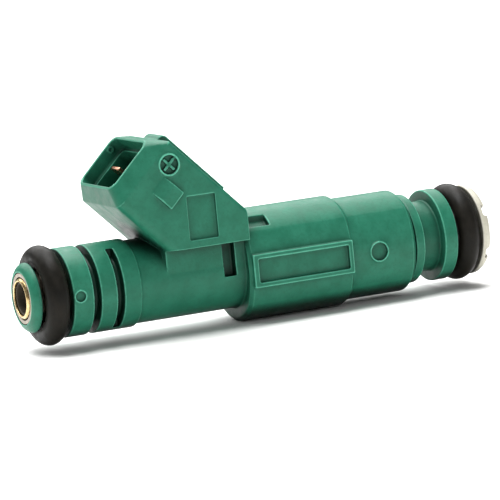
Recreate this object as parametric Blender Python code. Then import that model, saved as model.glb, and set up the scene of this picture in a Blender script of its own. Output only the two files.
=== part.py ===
"""Top-feed fuel injector, lying with its axis along X: inlet at -X, spray end at +X, connector up.

Outlines are in millimetres along the injector's own axis and are scaled to metres when a mesh
is made. Every object hangs on one empty, which sets the axis height and centres the length.
"""
import math

import bmesh
import bpy
from mathutils import Matrix, Vector

MM = 0.001
GAP = 0.3                       # clearance between touching pieces

# Length and height of the whole injector
INLET_END = 1.2
SPRAY_END = 73.3
SECTION_1_RADIUS = 8.1
AXIS_HEIGHT = SECTION_1_RADIUS

# Inlet tube and what is inside it
TUBE_RADIUS = 3.65
TUBE_BORE = 3.25
TUBE_END = 43.0
COLLAR_BORE = 2.42
FILTER_RADIUS = 2.6

# Housing
HOUSING_START = 6.9
BARREL_RADIUS = 6.04
COLLAR_RADIUS = 6.42
CLIP_COLLAR_RADIUS = 6.39
GROOVE_FLOOR = 4.85
GROOVE_EDGE = 0.1                # bevel on the collars' groove edges
SECTION_1_START = 33.7
PAD_CENTRE_Z = -0.2             # the side pads and round recesses sit just below the axis
SECTION_2_START = 50.5
SECTION_2_END = 60.8
SECTION_2_RADIUS = 7.5
CAVITY_RADIUS = 6.9
CAVITY_START = 34.7
CAVITY_STEP = 50.35
LOWER_CAVITY_RADIUS = 5.6
HOUSING_BORE = TUBE_RADIUS + GAP

# Retaining-clip slots
CLIP_SLOT = (13.57, 14.66)
CLIP_SLOT_FLOOR = 5.0           # radius of the slots' curved floor
CLIP_SLOT_INNER_Y = 2.4         # the slots leave a bridge this wide each side of the middle
CLIP_SLOT_HALF_HEIGHT = 5.6

# Seals
RAIL_SEAL_X = 4.79
MANIFOLD_SEAL_X = 70.0
SEAL_OUTER_RADIUS = 7.3
SEAL_INNER_RADIUS = 3.95
LOWER_SEAL_INNER_RADIUS = 3.95

# Spray end
VALVE_BODY_RADIUS = 3.4
CAP_RADIUS = 6.65
CAP_BORE = VALVE_BODY_RADIUS + GAP

# Connector head, in its own frame: OUT points out of the mouth, UP to the ribbed side
HEAD_ANGLE = math.radians(45.8)
OUT = Vector((-math.cos(HEAD_ANGLE), 0, math.sin(HEAD_ANGLE)))
UP = Vector((math.sin(HEAD_ANGLE), 0, math.cos(HEAD_ANGLE)))
HEAD_HALF_WIDTH = 7.5
HEAD_LOW = 18.6
HEAD_HIGH = 30.6
HEAD_BASE = 4.46
HEAD_BACK = 34.1
MOUTH = 0.45
MOUTH_BEVEL = 2.3
RIM_HALF_WIDTH = 6.4
RIM_LOW = 20.05
RIM_HIGH = 28.75
RIB_TOP = 31.9
PIP_CENTRE = (-6.2, 24.75)
POLARITY_MARK = Vector((22.72, 0, 16.77))
POLARITY_RADIUS = 1.36
BLADE_UP = 24.6
BLADE_TAIL_HEIGHT = 5.4
BLADE_Y = 2.5
BLADE_WIDTH = 2.8
BLADE_THICKNESS = 0.6

# Valve group
ARMATURE_START = 44.3
ARMATURE_END = 50.0
BALL_X = SPRAY_END - 3.0
BALL_RADIUS = 1.2
SPRING_COIL_RADIUS = 1.0
SPRING_WIRE_RADIUS = 0.2
SPRING_TURNS = 7

ROUND = 40                      # segments on large turned pieces
FINE = 24                       # segments on inner turned pieces
SMALL = 16


def clear_scene():
    for old in list(bpy.data.objects):
        bpy.data.objects.remove(old, do_unlink=True)


def make_frame():
    frame = bpy.data.objects.new("injector_axis", None)
    frame.location = (-(INLET_END + SPRAY_END) / 2 * MM, 0, AXIS_HEIGHT * MM)
    bpy.context.scene.collection.objects.link(frame)
    return frame


def material(name, colour, roughness, metallic=0.0):
    mat = bpy.data.materials.new(name)
    mat.use_nodes = True
    shader = mat.node_tree.nodes["Principled BSDF"]
    shader.inputs["Base Color"].default_value = (*colour, 1)
    shader.inputs["Roughness"].default_value = roughness
    shader.inputs["Metallic"].default_value = metallic
    return mat


def add_object(name, bm, mat=None):
    """Make an object from a bmesh whose points are in millimetres."""
    bmesh.ops.recalc_face_normals(bm, faces=bm.faces)
    bmesh.ops.scale(bm, vec=(MM, MM, MM), verts=bm.verts)
    mesh = bpy.data.meshes.new(name)
    bm.to_mesh(mesh)
    bm.free()
    mesh.shade_smooth()
    mesh.set_sharp_from_angle(angle=math.radians(35))
    obj = bpy.data.objects.new(name, mesh)
    if mat:
        mesh.materials.append(mat)
    obj.parent = FRAME
    bpy.context.scene.collection.objects.link(obj)
    return obj


def add_cutter(name, bm):
    cutter = add_object(name, bm)
    cutter.hide_render = True
    cutter.display_type = "WIRE"
    return cutter


def combine(target, tool, operation):
    modifier = target.modifiers.new(tool.name, "BOOLEAN")
    modifier.operation = operation
    modifier.solver = "EXACT"
    modifier.object = tool


def turned(bm, outline, segments=FINE, phase=0.0):
    """Closed body made by turning an (x, radius) outline about the X axis."""
    angles = [2 * math.pi * (k + phase) / segments for k in range(segments)]
    rings = []
    for x, radius in outline:
        if radius == 0:
            rings.append([bm.verts.new((x, 0, 0))])
        else:
            rings.append([bm.verts.new((x, -radius * math.cos(a), radius * math.sin(a))) for a in angles])
    for first, second in zip(rings, rings[1:] + rings[:1]):
        if len(first) == 1 and len(second) == 1:
            continue
        for k in range(segments):
            n = (k + 1) % segments
            corners = [first[k % len(first)], first[n % len(first)],
                       second[n % len(second)], second[k % len(second)]]
            bm.faces.new(list(dict.fromkeys(corners)))


def tube_outline(x0, x1, inner, outer):
    return [(x0, inner), (x0, outer), (x1, outer), (x1, inner)]


def turned_piece(name, outline, mat, segments=FINE):
    bm = bmesh.new()
    turned(bm, outline, segments)
    return add_object(name, bm, mat)


def loft(bm, sections):
    """Closed body through sections that have equally many points."""
    rings = [[bm.verts.new(point) for point in section] for section in sections]
    count = len(rings[0])
    for first, second in zip(rings, rings[1:]):
        for k in range(count):
            n = (k + 1) % count
            bm.faces.new((first[k], first[n], second[n], second[k]))
    bm.faces.new(rings[0])
    bm.faces.new(rings[-1])


def box(bm, low, high):
    corners = [(low[0], low[1]), (high[0], low[1]), (high[0], high[1]), (low[0], high[1])]
    loft(bm, [[(x, y, z) for x, y in corners] for z in (low[2], high[2])])


def both_sides(bm, low, high):
    """The same box on the -Y and on the +Y side, from |y| = low to |y| = high."""
    box(bm, (low[0], low[1], low[2]), (high[0], high[1], high[2]))
    box(bm, (low[0], -high[1], low[2]), (high[0], -low[1], high[2]))


def disc(bm, x, z, radius, y0, y1, segments=SMALL):
    angles = [2 * math.pi * (k + 0.37) / segments for k in range(segments)]
    loft(bm, [[(x + radius * math.cos(a), y, z + radius * math.sin(a)) for a in angles] for y in (y0, y1)])


def head_point(out, up, y=0.0):
    point = OUT * out + UP * up
    return (point.x, y, point.z)


def rounded_rectangle(half_width, low, high, low_round, high_round, steps=4):
    """(y, up) points of a rectangle whose low and high corners have their own rounding."""
    points = []
    corners = ((1, low, low_round, -90), (1, high, high_round, 0),
               (-1, high, high_round, 90), (-1, low, low_round, 180))
    for side, level, radius, start in corners:
        centre_y = side * (half_width - radius)
        centre_up = level + radius if level == low else level - radius
        for k in range(steps + 1):
            angle = math.radians(start + 90 * k / steps)
            points.append((centre_y + radius * math.cos(angle), centre_up + radius * math.sin(angle)))
    return points


def head_section(out, *shape):
    return [head_point(out, up, y) for y, up in rounded_rectangle(*shape)]


def head_strip(bm, outline, y0, y1):
    """A strip whose (out, up) outline is swept across from y0 to y1."""
    loft(bm, [[head_point(out, up, y) for out, up in outline] for y in (y0, y1)])


def section_outline(radius, crease_height, bulge, side_steps=8, arc_steps=14):
    """(y, z) outline: round above and below, with flatter bulging sides between two creases."""
    crease_y = math.sqrt(radius ** 2 - crease_height ** 2)
    rise = bulge - crease_y
    side_radius = (crease_height ** 2 + rise ** 2) / (2 * rise)
    half = math.asin(crease_height / side_radius)
    crease_angle = math.asin(crease_height / radius)
    points = []
    for k in range(side_steps):
        angle = -half + 2 * half * k / side_steps
        points.append((bulge - side_radius + side_radius * math.cos(angle), side_radius * math.sin(angle)))
    for k in range(arc_steps):
        angle = crease_angle + (math.pi - 2 * crease_angle) * k / arc_steps
        points.append((radius * math.cos(angle), radius * math.sin(angle)))
    return points + [(-y, -z) for y, z in points]


def section_body(bm, x0, x1, radius, crease_height, bulge, left_bevel, right_bevel):
    stations = ((x0, left_bevel), (x0 + left_bevel, 0), (x1 - right_bevel, 0), (x1, right_bevel))
    rings = []
    for x, inset in stations:
        outline = section_outline(radius - inset, crease_height - inset * 0.6, bulge - inset)
        rings.append([(x, y, z) for y, z in outline])
    loft(bm, rings)


def land(x0, x1, radius, bevel=0.25):
    """Outline points of a collar with bevelled edges."""
    return [(x0, radius - bevel), (x0 + bevel, radius), (x1 - bevel, radius), (x1, radius - bevel)]


def helix(bm, x0, x1, coil_radius, wire_radius, turns, steps=12, sides=5):
    """Closed wire wound about the X axis, with flat ends."""
    rings = []
    count = turns * steps
    pitch = (x1 - x0) / (2 * math.pi * turns)
    for k in range(count + 1):
        turn = 2 * math.pi * turns * k / count
        radial = Vector((0, math.cos(turn), math.sin(turn)))
        along = Vector((pitch, -coil_radius * math.sin(turn), coil_radius * math.cos(turn))).normalized()
        across = along.cross(radial)
        centre = Vector((x0 + pitch * turn, 0, 0)) + radial * coil_radius
        ring = []
        for s in range(sides):
            angle = 2 * math.pi * s / sides
            ring.append(centre + (radial * math.cos(angle) + across * math.sin(angle)) * wire_radius)
        rings.append(ring)
    loft(bm, rings)


def seal_outline(x, inner, outer, steps=10):
    radius = (outer - inner) / 2
    centre = inner + radius
    angles = [2 * math.pi * k / steps for k in range(steps)]
    return [(x + radius * math.cos(a), centre + radius * math.sin(a)) for a in angles]


def make_head():
    """Connector head: bevelled mouth, straight shell, cut flat at its back and base."""
    bm = bmesh.new()
    full = (HEAD_HALF_WIDTH, HEAD_LOW, HEAD_HIGH, 1.4, 0.7)
    loft(bm, [head_section(MOUTH, RIM_HALF_WIDTH, RIM_LOW, RIM_HIGH, 1.4, 1.4),
              head_section(MOUTH - MOUTH_BEVEL, *full),
              head_section(MOUTH - 30.0, *full)])
    head = add_cutter("connector_head", bm)
    bm = bmesh.new()
    box(bm, (HEAD_BACK, -12, -20), (60, 12, 40))
    combine(head, add_cutter("head_back_cut", bm), "DIFFERENCE")
    bm = bmesh.new()
    box(bm, (0, -12, -40), (60, 12, HEAD_BASE))
    combine(head, add_cutter("head_base_cut", bm), "DIFFERENCE")
    return head


def make_head_details():
    """Central rib, latch pips and the web between the barrel and the head."""
    bm = bmesh.new()
    foot = HEAD_HIGH - 0.5
    rib = [(-1.9, foot), (-2.0, RIB_TOP - 0.7), (-2.25, RIB_TOP - 0.2), (-2.75, RIB_TOP), (-14.6, RIB_TOP),
           (-14.9, foot)]
    head_strip(bm, rib, -2.5, 2.5)
    pieces = [add_cutter("head_rib", bm)]
    bm = bmesh.new()
    centre_out, centre_up = PIP_CENTRE
    for side in (-1, 1):
        inner, outer = side * (HEAD_HALF_WIDTH - 0.3), side * (HEAD_HALF_WIDTH + 0.6)
        base = side * HEAD_HALF_WIDTH
        profile = [(1.8, inner), (1.8, base), (0.0, outer), (-1.8, outer), (-1.8, inner)]
        loft(bm, [[head_point(centre_out + out, centre_up + up, y) for out, y in profile]
                  for up in (-1.48, 1.48)])
    pieces.append(add_cutter("latch_pips", bm))
    bm = bmesh.new()
    box(bm, (21.5, -5.95, 0), (34.4, 5.95, HEAD_BASE + 0.6))
    pieces.append(add_cutter("head_web", bm))
    return pieces


def blade_outline(tip_out, thickness, tail_x):
    """(x, z) outline of a blade: slanted in the socket, level to the coil."""
    half = thickness / 2
    bend_out = (BLADE_TAIL_HEIGHT - UP.z * BLADE_UP) / OUT.z
    bend_x = OUT.x * bend_out + UP.x * BLADE_UP
    tip = [head_point(tip_out, BLADE_UP + s * half) for s in (1, -1)]
    shift = half * math.tan(HEAD_ANGLE / 2)
    high = (bend_x + shift, BLADE_TAIL_HEIGHT + half)
    low = (bend_x - shift, BLADE_TAIL_HEIGHT - half)
    return [(tip[0][0], tip[0][2]), high, (tail_x, high[1]), (tail_x, low[1]), low, (tip[1][0], tip[1][2])]


def blade_body(bm, side, tip_out, thickness, tail_x, width):
    outline = blade_outline(tip_out, thickness, tail_x)
    ys = (side * BLADE_Y - width / 2, side * BLADE_Y + width / 2)
    loft(bm, [[(x, y, z) for x, z in outline] for y in ys])


def clip_slots(bm):
    """A slot each side, with a curved floor and flat ends above and below."""
    half, inner_y, floor = CLIP_SLOT_HALF_HEIGHT, CLIP_SLOT_INNER_Y, CLIP_SLOT_FLOOR
    reach = math.acos(inner_y / floor)
    steps = 10
    for side in (-1, 1):
        outline = [(side * inner_y, -half), (side * 9, -half), (side * 9, half), (side * inner_y, half)]
        for k in range(steps + 1):
            angle = reach - 2 * reach * k / steps
            outline.append((side * floor * math.cos(angle), floor * math.sin(angle)))
        loft(bm, [[(x, y, z) for y, z in outline] for x in CLIP_SLOT])


def notches(bm):
    """The pocket each side of the head's back, open above and outward, with a sloping floor."""
    for side in (-1, 1):
        outline = [(side * y, z) for y, z in ((3.6, 6.45), (6.2, 5.75), (9, 5.75), (9, 9), (3.6, 9))]
        loft(bm, [[(x, y, z) for y, z in outline] for x in (34.25, 37.3)])


def make_housing(mat):
    bm = bmesh.new()
    outline = [(HOUSING_START, 0)] + land(HOUSING_START, 10.0, COLLAR_RADIUS, GROOVE_EDGE)
    outline += [(10.0, GROOVE_FLOOR), (11.1, GROOVE_FLOOR)] + land(11.1, 17.35, CLIP_COLLAR_RADIUS, GROOVE_EDGE)
    outline += [(17.35, BARREL_RADIUS), (40.0, BARREL_RADIUS), (40.0, 0)]
    turned(bm, outline, ROUND)
    housing = add_object("overmoulded_housing", bm, mat)

    bm = bmesh.new()
    section_body(bm, SECTION_1_START, SECTION_2_START, SECTION_1_RADIUS, 5.35, 7.8, 0.5, 0.6)
    section_1 = add_cutter("section_1", bm)
    bm = bmesh.new()
    section_body(bm, SECTION_2_START - 1.5, SECTION_2_END, SECTION_2_RADIUS, 5.3, 7.3, 0.3, 0.6)
    section_2 = add_cutter("section_2", bm)
    bm = bmesh.new()
    both_sides(bm, (34.1, 7.0, PAD_CENTRE_Z - 2.43), (50.0, 7.95, PAD_CENTRE_Z + 2.43))
    side_pads = add_cutter("side_pads", bm)
    for tool in [section_1, section_2, side_pads, make_head()] + make_head_details():
        combine(housing, tool, "UNION")

    bm = bmesh.new()
    clip_slots(bm)
    both_sides(bm, (30.25, 4.6, -0.55), (32.15, 9, 4.3))
    both_sides(bm, (34.9, 7.35, PAD_CENTRE_Z - 1.7), (49.3, 9, PAD_CENTRE_Z + 1.7))
    both_sides(bm, (24.9, HEAD_HALF_WIDTH - 0.3, 5.6), (29.3, 9, 11.85))
    notches(bm)
    for side in (-1, 1):
        disc(bm, 54.45, PAD_CENTRE_Z, 1.3, side * 7.0, side * 9)
    disc(bm, 7.95, 0, 0.75, -6.2, -9)
    disc(bm, POLARITY_MARK.x, POLARITY_MARK.z, POLARITY_RADIUS, -HEAD_HALF_WIDTH + 0.3, -9, 24)
    combine(housing, add_cutter("side_recesses", bm), "DIFFERENCE")

    bm = bmesh.new()
    cross_out, cross_up = OUT.dot(POLARITY_MARK), UP.dot(POLARITY_MARK)
    outline = []
    for quarter in range(4):
        turn = Matrix.Rotation(math.radians(90 * quarter), 2)
        outline += [turn @ Vector(corner) for corner in ((1.1, -0.2), (1.1, 0.2), (0.2, 0.2))]
    face = -HEAD_HALF_WIDTH
    head_strip(bm, [(cross_out + a, cross_up + b) for a, b in outline], face + 0.05, face + 0.5)
    combine(housing, add_cutter("polarity_cross", bm), "UNION")

    bm = bmesh.new()
    turned(bm, [(0, 0), (0, HOUSING_BORE), (CAVITY_START, HOUSING_BORE), (CAVITY_START, CAVITY_RADIUS),
                (CAVITY_STEP, CAVITY_RADIUS), (CAVITY_STEP, LOWER_CAVITY_RADIUS),
                (65, LOWER_CAVITY_RADIUS), (65, 0)], FINE, 0.41)
    combine(housing, add_cutter("through_bore", bm), "DIFFERENCE")

    bm = bmesh.new()
    wide = (6.05, 20.4, 28.4, 1.2, 1.2)
    narrow = (5.6, 20.95, 27.85, 0.9, 0.9)
    loft(bm, [head_section(2.0, *wide), head_section(-1.7, *wide),
              head_section(-1.7, *narrow), head_section(-10.0, *narrow)])
    combine(housing, add_cutter("socket", bm), "DIFFERENCE")
    bm = bmesh.new()
    for side in (-1, 1):
        blade_body(bm, side, -9.0, BLADE_THICKNESS + 2 * GAP, 35.6, BLADE_WIDTH + 2 * GAP)
    combine(housing, add_cutter("blade_channels", bm), "DIFFERENCE")


def make_blades(mat):
    for side, name in ((-1, "terminal_blade_left"), (1, "terminal_blade_right")):
        bm = bmesh.new()
        blade_body(bm, side, -1.3, BLADE_THICKNESS, 36.1, BLADE_WIDTH)
        add_object(name, bm, mat)


def make_inlet(steel, brass, nylon, mesh_metal):
    turned_piece("inlet_tube", tube_outline(INLET_END, TUBE_END, TUBE_BORE, TUBE_RADIUS), steel, ROUND)
    turned_piece("filter_collar", tube_outline(1.4, 4.5, COLLAR_BORE, TUBE_BORE - GAP), brass)
    turned_piece("filter_mesh", tube_outline(6.1, 12.9, 1.6, 1.9), mesh_metal, SMALL)
    bm = bmesh.new()
    turned(bm, tube_outline(4.8, 5.8, 1.9, FILTER_RADIUS))
    frame = add_object("filter_frame", bm, nylon)
    bm = bmesh.new()
    for k in range(3):
        rib = bmesh.new()
        box(rib, (5.4, -0.35, 2.2), (13.6, 0.35, 2.52))
        bmesh.ops.rotate(rib, verts=rib.verts, matrix=Matrix.Rotation(math.radians(120 * k), 3, "X"))
        part = bpy.data.meshes.new("rib")
        rib.to_mesh(part)
        rib.free()
        bm.from_mesh(part)
        bpy.data.meshes.remove(part)
    combine(frame, add_cutter("filter_ribs", bm), "UNION")
    bm = bmesh.new()
    turned(bm, [(13.2, 0), (13.2, FILTER_RADIUS), (14.0, FILTER_RADIUS - 0.4), (14.0, 0)])
    combine(frame, add_cutter("filter_end", bm), "UNION")


def make_core(steel, sleeve_metal):
    turned_piece("pole_core", tube_outline(27.0, 44.0, 1.6, TUBE_BORE - GAP), steel)
    sleeve = turned_piece("adjusting_sleeve", tube_outline(29.0, 36.3, 0.75, 1.3), sleeve_metal, SMALL)
    bm = bmesh.new()
    box(bm, (28, -0.2, 0), (38, 0.2, 3))
    combine(sleeve, add_cutter("sleeve_slit", bm), "DIFFERENCE")


def make_solenoid(nylon, copper, steel, rubber):
    hub = HOUSING_BORE
    turned_piece("coil_bobbin", [(36.5, hub), (36.5, 5.7), (37.3, 5.7), (37.3, 4.45), (46.25, 4.45),
                                 (46.25, 5.7), (47.05, 5.7), (47.05, hub)], nylon)
    turned_piece("coil_winding", tube_outline(37.6, 45.95, 4.75, 5.5), copper)
    turned_piece("upper_bobbin_seal", seal_outline(35.7, 4.05, 4.85, 6), rubber, SMALL)
    turned_piece("lower_bobbin_seal", seal_outline(47.8, 4.05, 4.85, 6), rubber, SMALL)
    turned_piece("flux_housing", tube_outline(36.8, 50.0, 6.0, 6.6), steel)
    turned_piece("flux_washer", tube_outline(48.55, 49.9, hub, 5.7), steel)


def make_valve_body(steel, stainless):
    tip = SPRAY_END - 0.3
    seat_bore = SPRAY_END - 7.0
    turned_piece("non_magnetic_ring", tube_outline(43.3, 46.3, TUBE_BORE, TUBE_RADIUS), stainless)
    turned_piece("valve_body", [(46.6, TUBE_BORE), (46.6, TUBE_RADIUS), (50.65, TUBE_RADIUS), (50.65, 5.3),
                                (60.5, 5.3), (60.5, VALVE_BODY_RADIUS), (tip, VALVE_BODY_RADIUS),
                                (tip, 2.9), (seat_bore, 2.9), (seat_bore, 1.9), (52.3, 1.9),
                                (52.3, TUBE_BORE)], steel)
    washer = turned_piece("stop_washer", tube_outline(51.0, 52.0, 1.25, 2.95), stainless)
    bm = bmesh.new()
    box(bm, (50, -0.9, 0), (53, 0.9, 4))
    combine(washer, add_cutter("washer_slot", bm), "DIFFERENCE")
    guide = turned_piece("guide_ring", tube_outline(seat_bore + 0.5, seat_bore + 1.7, 1.25, 2.6), stainless)
    disc_piece = turned_piece("orifice_disc", [(tip - 0.4, 0), (tip - 0.4, 2.6), (tip - 0.1, 2.6), (tip - 0.1, 0)],
                              stainless)
    for piece, ring_radius, hole_radius, x0, x1 in ((guide, 1.95, 0.35, seat_bore, seat_bore + 3),
                                                    (disc_piece, 0.6, 0.15, tip - 1, tip + 1)):
        bm = bmesh.new()
        for k in range(4):
            angle = math.radians(45 + 90 * k)
            centre = (ring_radius * math.cos(angle), ring_radius * math.sin(angle))
            turns = [2 * math.pi * s / 8 for s in range(8)]
            loft(bm, [[(x, centre[0] + hole_radius * math.cos(a), centre[1] + hole_radius * math.sin(a))
                       for a in turns] for x in (x0, x1)])
        combine(piece, add_cutter(piece.name + "_holes", bm), "DIFFERENCE")
    turned_piece("valve_seat", [(tip - 3.3, 1.75), (tip - 3.3, 2.6), (tip - 0.7, 2.6), (tip - 0.7, 0.42),
                                (tip - 1.0, 0.42), (tip - 2.33, 1.75)], stainless)


def make_valve_group(steel, stainless, spring_steel):
    """Armature, hollow needle and ball move together along the axis."""
    turned_piece("armature", [(ARMATURE_START, 1.5), (ARMATURE_START, 2.95), (ARMATURE_END, 2.95),
                              (ARMATURE_END, 1.25), (47.5, 1.25), (47.5, 1.5)], steel)
    needle_end = BALL_X - 1.6
    needle = turned_piece("valve_needle", [(47.9, 0.5), (47.9, 0.95), (52.35, 0.95), (52.35, 1.6), (53.3, 1.6),
                                           (53.3, 0.95), (needle_end, 0.95), (needle_end, 0.5)], stainless, SMALL)
    bm = bmesh.new()
    angles = [2 * math.pi * s / 8 for s in range(8)]
    loft(bm, [[(62 + 0.35 * math.cos(a), y, 0.35 * math.sin(a)) for a in angles] for y in (-2, 2)])
    combine(needle, add_cutter("needle_port", bm), "DIFFERENCE")
    bm = bmesh.new()
    bmesh.ops.create_uvsphere(bm, u_segments=16, v_segments=10, radius=BALL_RADIUS)
    bmesh.ops.translate(bm, verts=bm.verts, vec=(BALL_X, 0, 0))
    add_object("valve_ball", bm, stainless)
    bm = bmesh.new()
    helix(bm, 36.9, 47.0, SPRING_COIL_RADIUS, SPRING_WIRE_RADIUS, SPRING_TURNS)
    add_object("return_spring", bm, spring_steel)


def make_seals_and_cap(rubber, green, cap_plastic):
    turned_piece("upper_o_ring", seal_outline(RAIL_SEAL_X, SEAL_INNER_RADIUS, SEAL_OUTER_RADIUS), rubber, ROUND)
    turned_piece("lower_o_ring", seal_outline(MANIFOLD_SEAL_X, LOWER_SEAL_INNER_RADIUS, SEAL_OUTER_RADIUS),
                 rubber, ROUND)
    turned_piece("inlet_support_ring", [(1.5, HOUSING_BORE), (1.5, 4.1), (1.75, 4.6), (2.35, 5.0), (2.75, 5.0),
                                        (2.75, HOUSING_BORE)], green, ROUND)
    outline = [(61.1, CAP_BORE)] + land(61.1, 62.3, 6.6, 0.2) + [(62.3, 5.2), (65.54, 5.2)]
    outline += land(65.54, 67.64, 6.78) + [(67.64, CAP_BORE)]
    turned_piece("lower_support_ring", outline, green, ROUND)
    lobes = SPRAY_END - 0.75
    cap = turned_piece("pintle_cap", [(72.05, CAP_BORE), (72.05, 5.6), (71.85, CAP_RADIUS), (lobes, CAP_RADIUS),
                                      (SPRAY_END, 6.2), (SPRAY_END, CAP_BORE)], cap_plastic, ROUND)
    bm = bmesh.new()
    for k in range(6):
        angle = math.radians(30 + 60 * k)
        across = Vector((0, -math.sin(angle), math.cos(angle)))
        outward = Vector((0, math.cos(angle), math.sin(angle)))
        corners = [outward * reach + across * half for reach, half in ((3, -0.7), (8, -0.7), (8, 0.7), (3, 0.7))]
        loft(bm, [[corner + Vector((x, 0, 0)) for corner in corners] for x in (lobes, SPRAY_END + 2)])
    combine(cap, add_cutter("cap_notches", bm), "DIFFERENCE")


def main():
    green = material("green_plastic", (0.03, 0.18, 0.11), 0.45)
    rubber = material("black_rubber", (0.02, 0.02, 0.018), 0.6)
    brass = material("brass", (0.85, 0.68, 0.35), 0.3, 1.0)
    steel = material("steel", (0.55, 0.55, 0.55), 0.35, 1.0)
    stainless = material("stainless", (0.7, 0.7, 0.7), 0.25, 1.0)
    copper = material("copper", (0.72, 0.35, 0.2), 0.35, 1.0)
    nylon = material("nylon", (0.1, 0.1, 0.1), 0.5)
    cap_plastic = material("cap_plastic", (0.6, 0.6, 0.54), 0.5)
    make_housing(green)
    make_blades(copper)
    make_inlet(steel, brass, nylon, stainless)
    make_core(steel, stainless)
    make_solenoid(nylon, copper, steel, rubber)
    make_valve_body(steel, stainless)
    make_valve_group(steel, stainless, steel)
    make_seals_and_cap(rubber, green, cap_plastic)


clear_scene()
FRAME = make_frame()
main()
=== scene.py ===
import math

import bmesh
import bpy
import numpy as np
from mathutils import Matrix, Vector


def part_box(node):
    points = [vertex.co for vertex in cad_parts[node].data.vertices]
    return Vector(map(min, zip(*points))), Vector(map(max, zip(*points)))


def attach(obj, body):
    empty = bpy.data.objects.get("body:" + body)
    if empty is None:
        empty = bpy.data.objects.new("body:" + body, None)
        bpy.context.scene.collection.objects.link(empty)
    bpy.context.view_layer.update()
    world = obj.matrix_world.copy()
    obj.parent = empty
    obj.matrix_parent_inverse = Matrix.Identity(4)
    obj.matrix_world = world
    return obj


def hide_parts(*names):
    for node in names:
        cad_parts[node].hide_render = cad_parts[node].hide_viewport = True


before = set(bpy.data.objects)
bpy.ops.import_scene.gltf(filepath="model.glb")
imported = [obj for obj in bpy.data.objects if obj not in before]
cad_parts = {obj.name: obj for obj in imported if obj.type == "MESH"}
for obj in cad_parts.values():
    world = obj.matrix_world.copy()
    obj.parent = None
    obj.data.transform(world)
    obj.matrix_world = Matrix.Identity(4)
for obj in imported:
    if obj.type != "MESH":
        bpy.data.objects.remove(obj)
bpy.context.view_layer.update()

BODY = "injector_body"
NEEDLE = "needle_assembly"

MM = 0.001
INLET_END = 1.2                     # station of the inlet tube's end
TUBE_LOW, TUBE_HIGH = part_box("inlet_tube")
AXIS_HEIGHT = (TUBE_LOW.z + TUBE_HIGH.z) / 2
STATION_ZERO = TUBE_LOW.x - INLET_END * MM
PLACE = Matrix.Translation((STATION_ZERO, 0, AXIS_HEIGHT)) @ Matrix.Scale(MM, 4)

VOXEL = 0.115
ROUND = 160

# Connector head frame: OUT points out of the mouth, UP to the ribbed side
HEAD_ANGLE = math.radians(45.8)
OUT = Vector((-math.cos(HEAD_ANGLE), 0, math.sin(HEAD_ANGLE)))
UP = Vector((math.sin(HEAD_ANGLE), 0, math.cos(HEAD_ANGLE)))
HEAD_HALF_WIDTH = 7.5
HEAD_LOW = 18.6
HEAD_HIGH = 30.6
HEAD_BASE = 4.46
HEAD_BACK = 34.1
MOUTH = 0.45
MOUTH_BEVEL = 2.3
RIB_TOP = 31.9
PIP_CENTRE = (-6.2, 24.75)
POLARITY_MARK = Vector((22.72, 0, 16.77))
POLARITY_RADIUS = 1.36
PAD_CENTRE_Z = -0.2
SIDE_BULGE = 7.5
GROOVE_FLOOR = 4.85
SLOT_FLOOR = 5.0
SLOT_INNER_Y = 2.4
SLOT_HALF_HEIGHT = 5.6
SPRAY_END = 73.3

# Stations and radii, along the axis from the inlet
HOUSING_RADIUS = 6.42
CLIP_SLOT = (13.57, 14.66)
GATE_MARK_X = 7.95
GATE_MARK_RADIUS = 0.74
ROUND_RECESS_X = 54.45
ROUND_RECESS_RADIUS = 1.3
SECTION_1 = (33.7, 50.5)
SECTION_2 = (49.0, 60.8)
PAD = (34.1, 50.0)
PAD_RECESS = (34.9, 49.3)
SHOULDER_POCKET = (34.25, 38.2)
SIDE_POCKET = (30.25, 32.15)
HEAD_RECESS = (24.9, 29.3)
BORE_RADIUS = 3.72
COIL_SPACE_RADIUS = 6.9
COIL_SPACE = (34.7, 50.35)
LOWER_BORE_RADIUS = 5.6
NECK = (62.3, 65.54)
NECK_RADIUS = 5.2
NEEDLE_RADIUS = 0.95


def span(node):
    """(first station, last station, outer radius) of a turned CAD node, in millimetres."""
    low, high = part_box(node)
    return (low.x - STATION_ZERO) / MM, (high.x - STATION_ZERO) / MM, (high.z - low.z) / 2 / MM


# ---------------------------------------------------------------- shapes

def turned(bm, outline, segments=ROUND, phase=0.0):
    """Closed body made by turning an (x, radius) outline about the injector's axis."""
    angles = [2 * math.pi * (k + phase) / segments for k in range(segments)]
    rings = []
    for x, radius in outline:
        if radius == 0:
            rings.append([bm.verts.new((x, 0, 0))])
        else:
            rings.append([bm.verts.new((x, -radius * math.cos(a), radius * math.sin(a))) for a in angles])
    for first, second in zip(rings, rings[1:] + rings[:1]):
        if len(first) == 1 and len(second) == 1:
            continue
        for k in range(segments):
            n = (k + 1) % segments
            corners = [first[k % len(first)], first[n % len(first)],
                       second[n % len(second)], second[k % len(second)]]
            bm.faces.new(list(dict.fromkeys(corners)))


def rounded(outline, radius, steps=4):
    """The closed outline with each corner off the axis replaced by a small arc."""
    points = []
    count = len(outline)
    for k in range(count):
        corner = Vector(outline[k])
        before = Vector(outline[k - 1]) - corner
        after = Vector(outline[(k + 1) % count]) - corner
        if corner.y == 0:
            points.append(tuple(corner))
            continue
        reach = min(radius, before.length * 0.45, after.length * 0.45)
        start = corner + before.normalized() * reach
        end = corner + after.normalized() * reach
        for s in range(steps + 1):
            t = s / steps
            points.append(tuple(start.lerp(corner, t).lerp(corner.lerp(end, t), t)))
    return points


def tube_outline(x0, x1, inner, outer):
    return [(x0, inner), (x0, outer), (x1, outer), (x1, inner)]


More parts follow.
